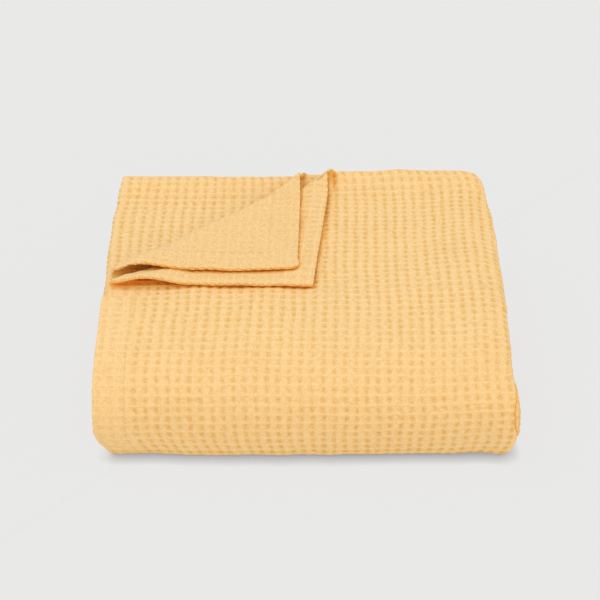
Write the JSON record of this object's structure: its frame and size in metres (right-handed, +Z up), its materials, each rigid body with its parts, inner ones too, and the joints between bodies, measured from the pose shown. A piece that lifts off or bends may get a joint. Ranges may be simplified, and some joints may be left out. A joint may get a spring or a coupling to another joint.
{
  "type": "folded blanket",
  "caption": "Waffle weave cotton blanket with hems, folded into a soft round-fronted pack with its back corner turned over, to lie on a bed, sofa or shelf.",
  "frame": {"origin": "centre of the bounding box's bottom face, on the surface that the pack rests on", "axes": "+X is the pack's right side, -Y its round front and +Z up; the turned corner is at the back left"},
  "size_m": [0.362, 0.3045, 0.1059],
  "materials": {
    "blanket": "matt honey-yellow cotton in a raised waffle weave, with turned and stitched hems"
  },
  "bodies": {
    "root": {"blanket": "blanket"}
  },
  "joints": []
}
